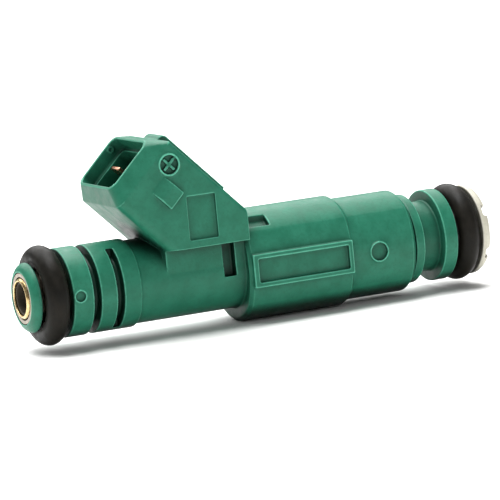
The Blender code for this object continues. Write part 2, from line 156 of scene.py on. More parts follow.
def loft(bm, sections):
    """Closed body through sections that have equally many points."""
    rings = [[bm.verts.new(point) for point in section] for section in sections]
    count = len(rings[0])
    for first, second in zip(rings, rings[1:]):
        for k in range(count):
            n = (k + 1) % count
            bm.faces.new((first[k], first[n], second[n], second[k]))
    bm.faces.new(rings[0])
    bm.faces.new(rings[-1])


def box(bm, low, high):
    corners = [(low[0], low[1]), (high[0], low[1]), (high[0], high[1]), (low[0], high[1])]
    loft(bm, [[(x, y, z) for x, y in corners] for z in (low[2], high[2])])


def both_sides(bm, low, high):
    """The same box on the -Y and on the +Y side, from |y| = low to |y| = high."""
    box(bm, (low[0], low[1], low[2]), (high[0], high[1], high[2]))
    box(bm, (low[0], -high[1], low[2]), (high[0], -low[1], high[2]))


def disc(bm, x, z, radius, y0, y1, segments=40, turn=0.37):
    angles = [2 * math.pi * (k + turn) / segments for k in range(segments)]
    loft(bm, [[(x + radius * math.cos(a), y, z + radius * math.sin(a)) for a in angles] for y in (y0, y1)])


def rim(bm, x, z, inner, outer, y0, y1, segments=40):
    """A round raised rim that stands across Y."""
    rings = []
    for radius, y in ((inner, y0), (outer, y0), (outer, y1), (inner, y1)):
        angles = [2 * math.pi * (k + 0.2) / segments for k in range(segments)]
        points = [(x + radius * math.cos(a), y, z + radius * math.sin(a)) for a in angles]
        rings.append([bm.verts.new(point) for point in points])
    for first, second in zip(rings, rings[1:] + rings[:1]):
        for k in range(segments):
            n = (k + 1) % segments
            bm.faces.new((first[k], first[n], second[n], second[k]))


def head_point(out, up, y=0.0):
    point = OUT * out + UP * up
    return (point.x, y, point.z)


def rounded_rectangle(half_width, low, high, low_round, high_round, steps=8):
    """(y, up) points of a rectangle whose low and high corners have their own rounding."""
    points = []
    corners = ((1, low, low_round, -90), (1, high, high_round, 0),
               (-1, high, high_round, 90), (-1, low, low_round, 180))
    for side, level, radius, start in corners:
        centre_y = side * (half_width - radius)
        centre_up = level + radius if level == low else level - radius
        for k in range(steps + 1):
            angle = math.radians(start + 90 * k / steps)
            points.append((centre_y + radius * math.cos(angle), centre_up + radius * math.sin(angle)))
    return points


def head_section(out, *shape):
    return [head_point(out, up, y) for y, up in rounded_rectangle(*shape)]


def head_strip(bm, outline, y0, y1):
    loft(bm, [[head_point(out, up, y) for out, up in outline] for y in (y0, y1)])


def section_outline(radius, crease_height, bulge, side_steps=28, arc_steps=40):
    """(y, z) outline: round above and below, with flatter bulging sides between two creases."""
    crease_y = math.sqrt(radius ** 2 - crease_height ** 2)
    rise = bulge - crease_y
    side_radius = (crease_height ** 2 + rise ** 2) / (2 * rise)
    half = math.asin(crease_height / side_radius)
    crease_angle = math.asin(crease_height / radius)
    points = []
    for k in range(side_steps):
        angle = -half + 2 * half * k / side_steps
        points.append((bulge - side_radius + side_radius * math.cos(angle), side_radius * math.sin(angle)))
    for k in range(arc_steps):
        angle = crease_angle + (math.pi - 2 * crease_angle) * k / arc_steps
        points.append((radius * math.cos(angle), radius * math.sin(angle)))
    return points + [(-y, -z) for y, z in points]


def section_body(bm, x0, x1, radius, crease_height, bulge, left_bevel, right_bevel):
    stations = ((x0, left_bevel), (x0 + left_bevel, 0), (x1 - right_bevel, 0), (x1, right_bevel))
    rings = []
    for x, inset in stations:
        outline = section_outline(radius - inset, crease_height - inset * 0.6, bulge - inset)
        rings.append([(x, y, z) for y, z in outline])
    loft(bm, rings)


def helix(bm, x0, x1, coil_radius, wire_radius, turns, steps=36, sides=14):
    """Closed wire wound about the axis at an even pitch."""
    rings = []
    count = turns * steps
    length = x1 - x0
    for k in range(count + 1):
        t = k / count
        turn = 2 * math.pi * turns * t
        radial = Vector((0, math.cos(turn), math.sin(turn)))
        along = Vector((length / (2 * math.pi * turns), -coil_radius * math.sin(turn),
                        coil_radius * math.cos(turn))).normalized()
        across = along.cross(radial)
        centre = Vector((x0 + length * t, 0, 0)) + radial * coil_radius
        ring = []
        for s in range(sides):
            angle = 2 * math.pi * s / sides
            ring.append(centre + (radial * math.cos(angle) + across * math.sin(angle)) * wire_radius)
        rings.append(ring)
    loft(bm, rings)


# ---------------------------------------------------------------- objects

def new_object(name, mesh):
    obj = bpy.data.objects.new(name, mesh)
    bpy.context.scene.collection.objects.link(obj)
    return obj


def new_mesh(name, bm):
    bmesh.ops.recalc_face_normals(bm, faces=bm.faces)
    mesh = bpy.data.meshes.new(name)
    bm.to_mesh(mesh)
    bm.free()
    return mesh


def tool(name, build):
    """A helper body in millimetres, used for a union or a cut and removed afterwards."""
    bm = bmesh.new()
    build(bm)
    return new_object(name, new_mesh(name, bm))


def combine(target, other, operation):
    modifier = target.modifiers.new(other.name, "BOOLEAN")
    modifier.operation = operation
    modifier.solver = "EXACT"
    modifier.object = other


def evaluated_mesh(obj):
    graph = bpy.context.evaluated_depsgraph_get()
    return bpy.data.meshes.new_from_object(obj.evaluated_get(graph))


def drop(objects):
    for obj in objects:
        bpy.data.objects.remove(obj, do_unlink=True)


def mark_edges(mesh):
    """Stores how sharply each point of an evenly meshed body bulges, for a painted highlight along sharp
    edges.
    """
    count = len(mesh.vertices)
    places = np.empty(count * 3)
    mesh.vertices.foreach_get("co", places)
    places = places.reshape(-1, 3)
    normals = np.empty(count * 3)
    mesh.vertices.foreach_get("normal", normals)
    normals = normals.reshape(-1, 3)
    ends = np.empty(len(mesh.edges) * 2, dtype=np.int64)
    mesh.edges.foreach_get("vertices", ends)
    first, second = ends[0::2], ends[1::2]
    links = np.bincount(first, minlength=count) + np.bincount(second, minlength=count)
    links = np.maximum(links, 1)

    def neighbour_mean(values):
        total = np.bincount(first, weights=values[second], minlength=count)
        total += np.bincount(second, weights=values[first], minlength=count)
        return total / links

    means = np.stack([neighbour_mean(places[:, k]) for k in range(3)], axis=1)
    lengths = np.linalg.norm(places[first] - places[second], axis=1)
    step = float(np.mean(lengths))
    bulge = -np.sum((means - places) * normals, axis=1) * 4 / step ** 2
    bulge = 0.5 * bulge + 0.5 * neighbour_mean(bulge)
    layer = mesh.attributes.new("edge", "FLOAT", "POINT")
    layer.data.foreach_set("value", bulge.astype(np.float32))


def combine_all(target, unions, cuts):
    for other in unions:
        combine(target, other, "UNION")
    for other in cuts:
        combine(target, other, "DIFFERENCE")


def joined(name, target, unions, cuts):
    """A new body with the unions and cuts made, in place of the bodies it came from."""
    combine_all(target, unions, cuts)
    result = new_object(name, evaluated_mesh(target))
    drop([target] + unions + cuts)
    return result


def mould(target, unions, cuts, voxel, smooth=3):
    """Unions and cuts, then a fine remesh whose smoothing rounds every edge as a mould does."""
    combine_all(target, unions, cuts)
    remesh = target.modifiers.new("skin", "REMESH")
    remesh.mode = "VOXEL"
    remesh.voxel_size = voxel
    remesh.adaptivity = 0
    relax = target.modifiers.new("relax", "SMOOTH")
    relax.factor = 0.5
    relax.iterations = smooth
    mesh = evaluated_mesh(target)
    drop([target] + unions + cuts)
    mark_edges(mesh)
    return mesh


def finish_piece(name, mesh, mat, slot, body, *nodes):
    """Puts a millimetre mesh in the row frame with the given material, as a piece of that body."""
    mesh.transform(PLACE)
    mesh.shade_smooth()
    mesh.materials.clear()
    mesh.materials.append(mat)
    obj = new_object(name, mesh)
    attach(obj, body)
    if nodes:
        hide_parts(*nodes)
    return obj


def turned_piece(name, outline, mat, slot, node, body=BODY, edge=0.1, segments=ROUND):
    bm = bmesh.new()
    turned(bm, rounded(outline, edge), segments)
    obj = finish_piece(name, new_mesh(name, bm), mat, slot, body, node)
    weighted = obj.modifiers.new("flat faces stay flat", "WEIGHTED_NORMAL")
    weighted.keep_sharp = False
    return obj


# ---------------------------------------------------------------- materials

def add_node(tree, kind, **inputs):
    node = tree.nodes.new(kind)
    for key, value in inputs.items():
        node.inputs[key.replace("_", " ")].default_value = value
    return node


def noise(tree, coords, size, detail=3.0, stretch=(1, 1, 1)):
    """Noise whose features are about size millimetres."""
    mapping = tree.nodes.new("ShaderNodeMapping")
    mapping.inputs["Scale"].default_value = stretch
    tree.links.new(coords, mapping.inputs["Vector"])
    node = add_node(tree, "ShaderNodeTexNoise", Scale=1 / (size * MM), Detail=detail, Roughness=0.55)
    tree.links.new(mapping.outputs["Vector"], node.inputs["Vector"])
    return node.outputs["Fac"]


def ranged(tree, value, low, high, from_low=0.3, from_high=0.7):
    node = tree.nodes.new("ShaderNodeMapRange")
    for key, number in (("From Min", from_low), ("From Max", from_high), ("To Min", low), ("To Max", high)):
        node.inputs[key].default_value = number
    tree.links.new(value, node.inputs["Value"])
    return node.outputs["Result"]


def mixed(tree, factor, first, second):
    """Colour mix; first and second are a colour or another node's output."""
    node = tree.nodes.new("ShaderNodeMix")
    node.data_type = "RGBA"
    tree.links.new(factor, node.inputs["Factor"])
    for key, value in (("A", first), ("B", second)):
        socket = [s for s in node.inputs if s.name == key and s.type == "RGBA"][0]
        if isinstance(value, tuple):
            socket.default_value = (*value, 1)
        else:
            tree.links.new(value, socket)
    return [s for s in node.outputs if s.type == "RGBA"][0]


def bumped(tree, height, depth, normal=None):
    """Bump of about depth millimetres."""
    node = add_node(tree, "ShaderNodeBump", Strength=1.0, Distance=depth * MM)
    tree.links.new(height, node.inputs["Height"])
    if normal:
        tree.links.new(normal, node.inputs["Normal"])
    return node.outputs["Normal"]


EDGE_BULGE = (1.5, 6.0)             # the "edge" values over which the painted edge highlight grows
HOLLOW_REACH = 3.0                  # how far off a wall the painted shade of a hollow still reaches


def surface(name, dark, light, rough, grain, metallic=0.0, patch=2.5, stretch=(1, 1, 1),
            edge=None, highlight_share=0.0, hollow_shade=0.0, sheen=0.5):
    """Mottled colour, a painted highlight along sharp edges, painted shade in hollows, varied roughness and a
    fine grain.

    grain is (size, depth) and patch is the mottling's size, both in millimetres.
    """
    mat = bpy.data.materials.new(name)
    mat.use_nodes = True
    tree = mat.node_tree
    shader = tree.nodes["Principled BSDF"]
    shader.inputs["Metallic"].default_value = metallic
    shader.inputs["Specular IOR Level"].default_value = sheen
    coords = tree.nodes.new("ShaderNodeTexCoord").outputs["Object"]
    patches = noise(tree, coords, patch, 5.0)
    speckle = noise(tree, coords, grain[0] * 1.7, 2.0, stretch)
    colour = mixed(tree, ranged(tree, patches, 0, 1), dark, light)
    darker = tuple(channel * 0.82 for channel in dark)
    colour = mixed(tree, ranged(tree, speckle, 0.3, 0, 0.35, 0.5), colour, darker)
    # Painted highlight: edges that bulge sharply are painted paler, broken into patches by noise.
    if edge:
        sharp = tree.nodes.new("ShaderNodeAttribute")
        sharp.attribute_name = "edge"
        highlight_breakup = noise(tree, coords, 1.2, 4.0)
        edge_highlight = add_node(tree, "ShaderNodeMath")
        edge_highlight.operation = "MULTIPLY"
        tree.links.new(ranged(tree, sharp.outputs["Fac"], 0, highlight_share, *EDGE_BULGE), edge_highlight.inputs[0])
        tree.links.new(ranged(tree, highlight_breakup, 0.75, 1.0), edge_highlight.inputs[1])
        colour = mixed(tree, edge_highlight.outputs["Value"], colour, edge)
    # Painted shade: ambient occlusion darkens hollows, grooves and pockets towards a deep shade colour.
    if hollow_shade:
        shade = add_node(tree, "ShaderNodeAmbientOcclusion", Distance=HOLLOW_REACH * MM)
        shade.samples = 8
        shade_colour = tuple(channel * hollow_shade for channel in dark)
        colour = mixed(tree, ranged(tree, shade.outputs["AO"], 1, 0, 0.4, 0.98), colour, shade_colour)
    tree.links.new(colour, shader.inputs["Base Color"])
    tree.links.new(ranged(tree, noise(tree, coords, patch * 0.5, 6.0), *rough), shader.inputs["Roughness"])
    fine = bumped(tree, noise(tree, coords, grain[0], 3.0, stretch), grain[1])
    tree.links.new(bumped(tree, patches, grain[1] * 2, fine), shader.inputs["Normal"])
    return mat


# Green nylon: its pale edge colour is a painted highlight along edges, and its hollow darkening is painted
# shade.
GREEN = surface("green_nylon", (0.011, 0.128, 0.074), (0.02, 0.172, 0.104), (0.36, 0.52), (0.3, 0.02),
                edge=(0.13, 0.52, 0.36), highlight_share=0.85, hollow_shade=0.14, sheen=0.22)
RUBBER = surface("seal_rubber", (0.006, 0.006, 0.005), (0.015, 0.013, 0.01), (0.32, 0.54), (0.14, 0.012),
                 sheen=0.1)
# Cap nylon: its pale edge colour is a painted highlight, and its hollow darkening is painted shade.
CAP = surface("cap_nylon", (0.45, 0.43, 0.35), (0.56, 0.54, 0.45), (0.4, 0.55), (0.2, 0.015), patch=3,
              edge=(0.78, 0.76, 0.68), highlight_share=0.6, hollow_shade=0.3, sheen=0.3)
TUBE_METAL = surface("drawn_steel", (0.2, 0.17, 0.13), (0.38, 0.33, 0.27), (0.25, 0.42), (0.07, 0.006),
                     metallic=1.0, patch=0.8, stretch=(0.1, 1, 1))
# Brass: its hollow darkening is painted shade inside the bore.
BRASS = surface("bright_brass", (0.5, 0.34, 0.13), (0.86, 0.68, 0.36), (0.16, 0.34), (0.06, 0.005),
                metallic=1.0, patch=0.7, stretch=(0.1, 1, 1), hollow_shade=0.03)
COPPER = surface("terminal_metal", (0.42, 0.17, 0.1), (0.75, 0.42, 0.28), (0.2, 0.42), (0.1, 0.006),
                 metallic=1.0, patch=1.0, stretch=(1, 0.15, 1))
WIRE = surface("winding_wire", (0.45, 0.14, 0.06), (0.68, 0.28, 0.12), (0.25, 0.4), (0.1, 0.004),
               metallic=1.0)
BOBBIN = surface("bobbin_nylon", (0.02, 0.02, 0.022), (0.035, 0.035, 0.036), (0.4, 0.55), (0.12, 0.008))
# Filter nylon: its near-black colour and its hollow darkening are painted shade of the inlet bore.
FILTER = surface("filter_nylon", (0.06, 0.05, 0.035), (0.11, 0.09, 0.065), (0.4, 0.55), (0.1, 0.006),
                 hollow_shade=0.06, sheen=0.15)
MAGNETIC = surface("magnetic_steel", (0.33, 0.33, 0.33), (0.46, 0.46, 0.45), (0.28, 0.46), (0.06, 0.005),
                   metallic=1.0, stretch=(0.15, 1, 1))
STAINLESS = surface("valve_steel", (0.5, 0.5, 0.5), (0.66, 0.66, 0.65), (0.16, 0.32), (0.05, 0.003),
                    metallic=1.0, stretch=(0.15, 1, 1))
SPRING = surface("spring_wire", (0.2, 0.2, 0.21), (0.34, 0.34, 0.35), (0.25, 0.4), (0.05, 0.003),
                 metallic=1.0)


# ---------------------------------------------------------------- housing

def barrel(bm):
    first = span("overmoulded_housing")[0]
    collar = HOUSING_RADIUS
    outline = [(first, 0), (first, collar - 0.12), (first + 0.12, collar), (9.93, collar),
               (10.0, collar - 0.07), (10.0, GROOVE_FLOOR), (11.1, GROOVE_FLOOR), (11.1, 6.32), (11.17, 6.39),
               (17.2, 6.39), (17.35, 6.24), (17.35, 6.04), (40.0, 6.04), (40.0, 0)]
    turned(bm, outline, ROUND)


def head_shell(bm):
    full = (HEAD_HALF_WIDTH, HEAD_LOW, HEAD_HIGH, 1.4, 0.6)
    loft(bm, [head_section(MOUTH, 6.4, 20.05, 28.75, 1.5, 1.5),
              head_section(MOUTH - MOUTH_BEVEL, *full),
              head_section(MOUTH - 30.0, *full)])


def head_rib(bm):
    foot = HEAD_HIGH - 0.5
    rib = [(-1.9, foot), (-2.0, RIB_TOP - 0.7), (-2.2, RIB_TOP - 0.25), (-2.75, RIB_TOP),
           (-14.6, RIB_TOP), (-14.9, foot)]
    head_strip(bm, rib, -2.5, 2.5)


def latch_pips(bm):
    centre_out, centre_up = PIP_CENTRE
    for side in (-1, 1):
        inner, outer = side * (HEAD_HALF_WIDTH - 0.3), side * (HEAD_HALF_WIDTH + 0.59)
        foot = side * (HEAD_HALF_WIDTH + 0.08)
        profile = [(1.8, inner), (1.8, foot), (0.1, outer), (-1.8, outer), (-1.8, inner)]
        loft(bm, [[head_point(centre_out + out, centre_up + up, y) for out, y in profile]
                  for up in (-1.48, 1.48)])


def marks(bm):
    """Raised rims round the gate mark, the polarity mark and the round recesses."""
    rim(bm, GATE_MARK_X, 0, GATE_MARK_RADIUS, GATE_MARK_RADIUS + 0.24, -6.0, -6.5)
    rim(bm, POLARITY_MARK.x, POLARITY_MARK.z, POLARITY_RADIUS, POLARITY_RADIUS + 0.3,
        -HEAD_HALF_WIDTH + 0.4, -HEAD_HALF_WIDTH - 0.2)
    for side in (-1, 1):
        rim(bm, ROUND_RECESS_X, PAD_CENTRE_Z, ROUND_RECESS_RADIUS, ROUND_RECESS_RADIUS + 0.22,
            side * 6.6, side * 7.3)


def socket_marks(bm):
    """A small ring on the far inner wall and a short rib at the near lower corner."""
    spot = OUT * -0.35 + UP * 26.9
    rim(bm, spot.x, spot.z, 0.3, 0.52, 6.3, 5.9, 24)
    head_strip(bm, [(0.15, 20.2), (0.15, 21.3), (-6.0, 21.3), (-6.0, 20.2)], -5.25, -4.9)


def parting_line(bm):
    """The mould's parting step, a fine groove along the head's lower face."""
    low, high = HEAD_LOW - 0.3, HEAD_LOW + 0.12
    head_strip(bm, [(-0.9, low), (-9.6, low), (-9.6, high), (-0.9, high)], -0.95, -0.75)


def clip_slots(bm):
    steps = 24
    reach = math.acos(SLOT_INNER_Y / SLOT_FLOOR)
    for side in (-1, 1):
        outline = [(side * SLOT_INNER_Y, -SLOT_HALF_HEIGHT), (side * 9, -SLOT_HALF_HEIGHT),
                   (side * 9, SLOT_HALF_HEIGHT), (side * SLOT_INNER_Y, SLOT_HALF_HEIGHT)]
        for k in range(steps + 1):
            angle = reach - 2 * reach * k / steps
            outline.append((side * SLOT_FLOOR * math.cos(angle), SLOT_FLOOR * math.sin(angle)))
        loft(bm, [[(x, y, z) for y, z in outline] for x in CLIP_SLOT])


def notches(bm):
    """Pockets in the shoulders behind the head, each left with a thin outer wall."""
    for side in (-1, 1):
        outline = [(side * y, z) for y, z in ((3.6, 6.25), (5.5, 4.85), (5.5, 9), (3.6, 9))]
        loft(bm, [[(x, y, z) for y, z in outline] for x in SHOULDER_POCKET])


def side_cuts(bm):
    clip_slots(bm)
    notches(bm)
    both_sides(bm, (SIDE_POCKET[0], 4.6, -0.55), (SIDE_POCKET[1], 9, 4.3))
    both_sides(bm, (PAD_RECESS[0], 7.3, PAD_CENTRE_Z - 1.7), (PAD_RECESS[1], 9, PAD_CENTRE_Z + 1.7))
    both_sides(bm, (HEAD_RECESS[0], HEAD_HALF_WIDTH - 0.45, 5.6), (HEAD_RECESS[1], 9, 11.85))


def round_cuts(bm):
    for side in (-1, 1):
        disc(bm, ROUND_RECESS_X, PAD_CENTRE_Z, ROUND_RECESS_RADIUS, side * 6.8, side * 9)
    disc(bm, GATE_MARK_X, 0, GATE_MARK_RADIUS, -6.1, -9)
    disc(bm, POLARITY_MARK.x, POLARITY_MARK.z, POLARITY_RADIUS, -HEAD_HALF_WIDTH + 0.35, -9)


def polarity_cross(bm):
    centre_out, centre_up = OUT.dot(POLARITY_MARK), UP.dot(POLARITY_MARK)
    outline = []
    for quarter in range(4):
        turn = Matrix.Rotation(math.radians(90 * quarter), 2)
        outline += [turn @ Vector(corner) for corner in ((1.12, -0.2), (1.12, 0.2), (0.2, 0.2))]
    face = -HEAD_HALF_WIDTH
    head_strip(bm, [(centre_out + a, centre_up + b) for a, b in outline], face - 0.02, face + 0.5)


def through_bore(bm):
    start, end = COIL_SPACE
    outline = [(0, 0), (0, BORE_RADIUS), (start, BORE_RADIUS), (start, COIL_SPACE_RADIUS),
               (end, COIL_SPACE_RADIUS), (end, LOWER_BORE_RADIUS), (65, LOWER_BORE_RADIUS), (65, 0)]
    turned(bm, outline, 120, 0.41)


def socket(bm):
    wide = (6.05, 20.4, 28.4, 1.3, 1.3)
    narrow = (5.6, 20.95, 27.85, 0.9, 0.9)
    loft(bm, [head_section(2.0, *wide), head_section(-1.7, *wide),
              head_section(-1.7, *narrow), head_section(-10.0, *narrow)])


BLADE_UP = 24.6
BLADE_Y = 2.5
BLADE_TAIL_HEIGHT = 5.4


def blade_body(bm, side, tip_out, thickness, tail_x, width):
    """A blade, slanted in the socket and level to the coil."""
    half = thickness / 2
    bend_out = (BLADE_TAIL_HEIGHT - UP.z * BLADE_UP) / OUT.z
    bend_x = OUT.x * bend_out + UP.x * BLADE_UP
    tip = [head_point(tip_out, BLADE_UP + s * half) for s in (1, -1)]
    shift = half * math.tan(HEAD_ANGLE / 2)
    high, low = BLADE_TAIL_HEIGHT + half, BLADE_TAIL_HEIGHT - half
    outline = [(tip[0][0], tip[0][2]), (bend_x + shift, high), (tail_x, high), (tail_x, low),
               (bend_x - shift, low), (tip[1][0], tip[1][2])]
    ys = (side * BLADE_Y - width / 2, side * BLADE_Y + width / 2)
    loft(bm, [[(x, y, z) for x, z in outline] for y in ys])


def blade_channels(bm):
    for side in (-1, 1):
        blade_body(bm, side, -9.0, 1.0, 35.6, 3.2)


def make_housing():
    body = tool("barrel", barrel)
    head = tool("head", head_shell)
    trims = [tool("head_back", lambda bm: box(bm, (HEAD_BACK, -12, -20), (60, 12, 40))),
             tool("head_floor", lambda bm: box(bm, (0, -12, -40), (60, 12, HEAD_BASE)))]
    trimmed = joined("trimmed_head", head, [], trims)
    unions = [
        tool("section_1", lambda bm: section_body(bm, *SECTION_1, 8.09, 5.35, SIDE_BULGE, 0.5, 0.6)),
        tool("section_2", lambda bm: section_body(bm, *SECTION_2, 7.5, 5.3, SIDE_BULGE - 0.4, 0.3, 0.7)),
        tool("pads", lambda bm: both_sides(bm, (PAD[0], 7.0, PAD_CENTRE_Z - 2.4),
                                           (PAD[1], 7.92, PAD_CENTRE_Z + 2.4))),
        trimmed,
        tool("rib", head_rib),
        tool("pips", latch_pips),
        tool("web", lambda bm: box(bm, (21.5, -5.95, 0), (34.4, 5.95, HEAD_BASE + 0.6))),
    ]
    base = joined("base", body, unions, [tool("side_cuts", side_cuts), tool("round_cuts", round_cuts)])
    cuts = [tool("bore", through_bore), tool("socket", socket), tool("channels", blade_channels),
            tool("parting", parting_line)]
    hollow = joined("hollow", base, [tool("marks", marks), tool("cross", polarity_cross)], cuts)
    mesh = mould(hollow, [tool("socket_marks", socket_marks)], [], VOXEL, 2)
    finish_piece("housing_shell", mesh, GREEN, "green_plastic", BODY, "overmoulded_housing")


# ---------------------------------------------------------------- other outside pieces

def make_rings():
    x0, x1, outer = span("inlet_support_ring")
    outline = [(x0 - 0.1, BORE_RADIUS), (x0 - 0.1, 3.9), (x0 + 0.1, 4.4), (x0 + 0.4, 4.75),
               (x0 + 0.85, outer), (x1, outer), (x1, 4.4), (x1, BORE_RADIUS)]
    ring = tool("ring", lambda bm: turned(bm, rounded(outline, 0.3), ROUND))
    finish_piece("inlet_ring", mould(ring, [], [], 0.09), GREEN, "green_plastic", BODY, "inlet_support_ring")
    x0, x1, outer = span("lower_support_ring")
    flange = outer - 0.01
    spool = [(x0 - 0.22, 3.5), (x0 - 0.22, 6.6), (NECK[0], 6.6), (NECK[0], NECK_RADIUS),
             (NECK[1], NECK_RADIUS), (NECK[1], flange), (x1, flange), (x1, 3.5)]
    ring = tool("spool", lambda bm: turned(bm, rounded(spool, 0.15), ROUND))
    finish_piece("lower_spool", mould(ring, [], [], 0.1), GREEN, "green_plastic", BODY, "lower_support_ring")


def seal_outline(x, inner, outer, steps=64):
    """Round section with the mould's flash line round its outside and inside."""
    radius = (outer - inner) / 2
    points = []
    for k in range(steps):
        angle = 2 * math.pi * k / steps
        flash = 0.05 * math.exp(-(math.sin(angle - 0.25 * math.pi) / 0.07) ** 2)
        reach = radius - 0.05 + flash
        points.append((x + reach * math.cos(angle), inner + radius + reach * math.sin(angle)))
    return points


def make_seals():
    seals = (("rail_seal", "upper_o_ring", BORE_RADIUS), ("manifold_seal", "lower_o_ring", 3.95))
    for name, node, inner in seals:
        x0, x1, outer = span(node)
        bm = bmesh.new()
        turned(bm, seal_outline((x0 + x1) / 2, inner, outer), ROUND)
        finish_piece(name, new_mesh(name, bm), RUBBER, "black_rubber", BODY, node)


def make_cap():
    """Castellated cap: six notches in its end."""
    x0, x1, outer = span("pintle_cap")
    lobes = x1 - 0.75
    outline = [(x0 + 0.2, 3.5), (x0 + 0.2, 5.5), (x0, outer - 0.15), (x0 + 0.12, outer), (lobes, outer),
               (lobes + 0.2, 6.5), (x1 - 0.1, 6.3), (x1, 6.1), (x1, 3.9), (x1 - 0.3, 3.5)]
    cap = tool("cap", lambda bm: turned(bm, outline, ROUND))

    def cap_notches(bm):
        for k in range(6):
            angle = math.radians(30 + 60 * k)
            across = Vector((0, -math.sin(angle), math.cos(angle)))
            outward = Vector((0, math.cos(angle), math.sin(angle)))
            corners = [outward * reach + across * half
                       for reach, half in ((3, -0.6), (8, -0.9), (8, 0.9), (3, 0.6))]
            loft(bm, [[corner + Vector((x, 0, 0)) for corner in corners] for x in (lobes - 0.05, x1 + 2)])

    mesh = mould(cap, [], [tool("cap_notches", cap_notches)], VOXEL * 0.75, 4)
    finish_piece("spray_cap", mesh, CAP, "cap_plastic", BODY, "pintle_cap")


def make_inlet():
    x0, x1, outer = span("inlet_tube")
    face = x0 + 0.3
    outline = [(face, 3.05), (face, outer - 0.02), (face + 0.05, outer), (x1, outer), (x1, 3.25),
               (x0 + 1.2, 3.25), (x0 + 0.6, 3.2)]
    turned_piece("fuel_tube", outline, TUBE_METAL, "tube_steel", "inlet_tube", edge=0.12)
    lip = x0 + 0.02
    x0, x1, outer = span("filter_collar")
    outline = [(lip, 2.45), (lip, outer - 0.3), (lip + 0.3, outer), (x1, outer), (x1, 2.42),
               (lip + 0.2, 2.42)]
    turned_piece("brass_collar", outline, BRASS, "collar_brass", "filter_collar", edge=0.16)
    x0, x1, outer = span("filter_frame")
    frame_body = tool("basket", lambda bm: turned(bm, tube_outline(x0, x0 + 1.0, 1.9, outer), 96))
    sleeve_outline = tube_outline(lip + 0.3, x0 + 0.5, 2.12, 2.4)
    sleeve = tool("basket_sleeve", lambda bm: turned(bm, sleeve_outline, 96, 0.3))

    def ribs(bm):
        for k in range(3):
            turn = Matrix.Rotation(math.radians(120 * k), 3, "X")
            corners = [(-0.35, 2.2), (0.35, 2.2), (0.35, 2.52), (-0.35, 2.52)]
            loft(bm, [[turn @ Vector((x, y, z)) for y, z in corners] for x in (x0 + 0.6, x1 - 0.4)])
    end_outline = [(x1 - 0.8, 0), (x1 - 0.8, outer), (x1, outer - 0.4), (x1, 0)]
    end = tool("basket_end", lambda bm: turned(bm, end_outline, 96))
    mesh = mould(frame_body, [tool("ribs", ribs), end, sleeve], [], 0.08)
    finish_piece("filter_basket", mesh, FILTER, "filter_nylon", BODY, "filter_frame")
    x0, x1, outer = span("filter_mesh")
    steps = 90
    weave = [(x0 + (x1 - x0) * k / steps, outer - 0.03 * (k % 2)) for k in range(steps + 1)]
    bm = bmesh.new()
    turned(bm, weave + [(x1, outer - 0.2), (x0, outer - 0.2)], 96)
    mesh = new_mesh("filter_gauze", bm)
    finish_piece("filter_gauze", mesh, STAINLESS, "filter_gauze", BODY, "filter_mesh")


def make_blades():
    for side, node in ((-1, "terminal_blade_left"), (1, "terminal_blade_right")):
        bm = bmesh.new()
        blade_body(bm, side, -1.3, 0.6, 36.1, 2.8)
        name = node.replace("terminal_", "")
        obj = finish_piece(name, new_mesh(node, bm), COPPER, "terminal_copper", BODY, node)
        bevel = obj.modifiers.new("coined edges", "BEVEL")
        bevel.width = 0.16 * MM
        bevel.segments = 3
        bevel.limit_method = "ANGLE"
        weighted = obj.modifiers.new("flat faces stay flat", "WEIGHTED_NORMAL")
        weighted.keep_sharp = False


# ---------------------------------------------------------------- inside pieces

def winding_outline(x0, x1, inner, outer, wire=0.36):
    """A wound bundle: its outside shows the top layer of wire."""
    turns = int((x1 - x0) / wire)
    pitch = (x1 - x0) / turns
    points = [(x1, inner), (x0, inner)]
    for turn in range(turns):
        for k in range(6):
            angle = math.pi * (k + 0.5) / 6
            points.append((x0 + pitch * (turn + 0.5 - 0.5 * math.cos(angle)),
                           outer - pitch / 2 + pitch / 2 * math.sin(angle)))
    return points


def make_solenoid():
    x0, x1, outer = span("coil_bobbin")
    flange, core = 0.8, 4.45
    outline = [(x0, BORE_RADIUS), (x0, outer), (x0 + flange, outer), (x0 + flange, core),
               (x1 - flange, core), (x1 - flange, outer), (x1, outer), (x1, BORE_RADIUS)]
    turned_piece("bobbin", outline, BOBBIN, "bobbin_nylon", "coil_bobbin")
    x0, x1, outer = span("coil_winding")
    bm = bmesh.new()
    turned(bm, winding_outline(x0 - 0.2, x1 + 0.2, 4.55, outer), 128)
    finish_piece("winding", new_mesh("winding", bm), WIRE, "coil_copper", BODY, "coil_winding")
    for node in ("upper_bobbin_seal", "lower_bobbin_seal"):
        x0, x1, outer = span(node)
        bm = bmesh.new()
        turned(bm, seal_outline((x0 + x1) / 2, outer - 0.8, outer, 40), 96)
        name = node.replace("bobbin_", "inner_")
        finish_piece(name, new_mesh(name, bm), RUBBER, "black_rubber", BODY, node)
    for name, node, inner in (("flux_can", "flux_housing", 6.0), ("flux_plate", "flux_washer", 3.9)):
        x0, x1, outer = span(node)
        turned_piece(name, tube_outline(x0, x1, inner, outer), MAGNETIC, "magnetic_steel", node)


def make_core():
    x0, x1, outer = span("pole_core")
    outline = [(x0, 2.0), (x0, outer + 0.2), (x1, outer + 0.2), (x1, 1.6), (x0 + 0.5, 1.6)]
    turned_piece("core", outline, MAGNETIC, "magnetic_steel", "pole_core")
    x0, x1, outer = span("non_magnetic_ring")
    turned_piece("isolating_ring", tube_outline(x0 - 0.2, x1 + 0.2, 3.25, outer), STAINLESS, "valve_steel",
                 "non_magnetic_ring")
    x0, x1, outer = span("adjusting_sleeve")
    sleeve = tool("sleeve", lambda bm: turned(bm, rounded(tube_outline(x0, x1, 0.75, outer), 0.1), 96))
    slit = tool("slit", lambda bm: box(bm, (x0 - 1, -0.2, 0), (x1 + 1, 0.2, 3)))
    mesh = mould(sleeve, [], [slit], 0.06)
    finish_piece("preload_sleeve", mesh, STAINLESS, "valve_steel", BODY, "adjusting_sleeve")


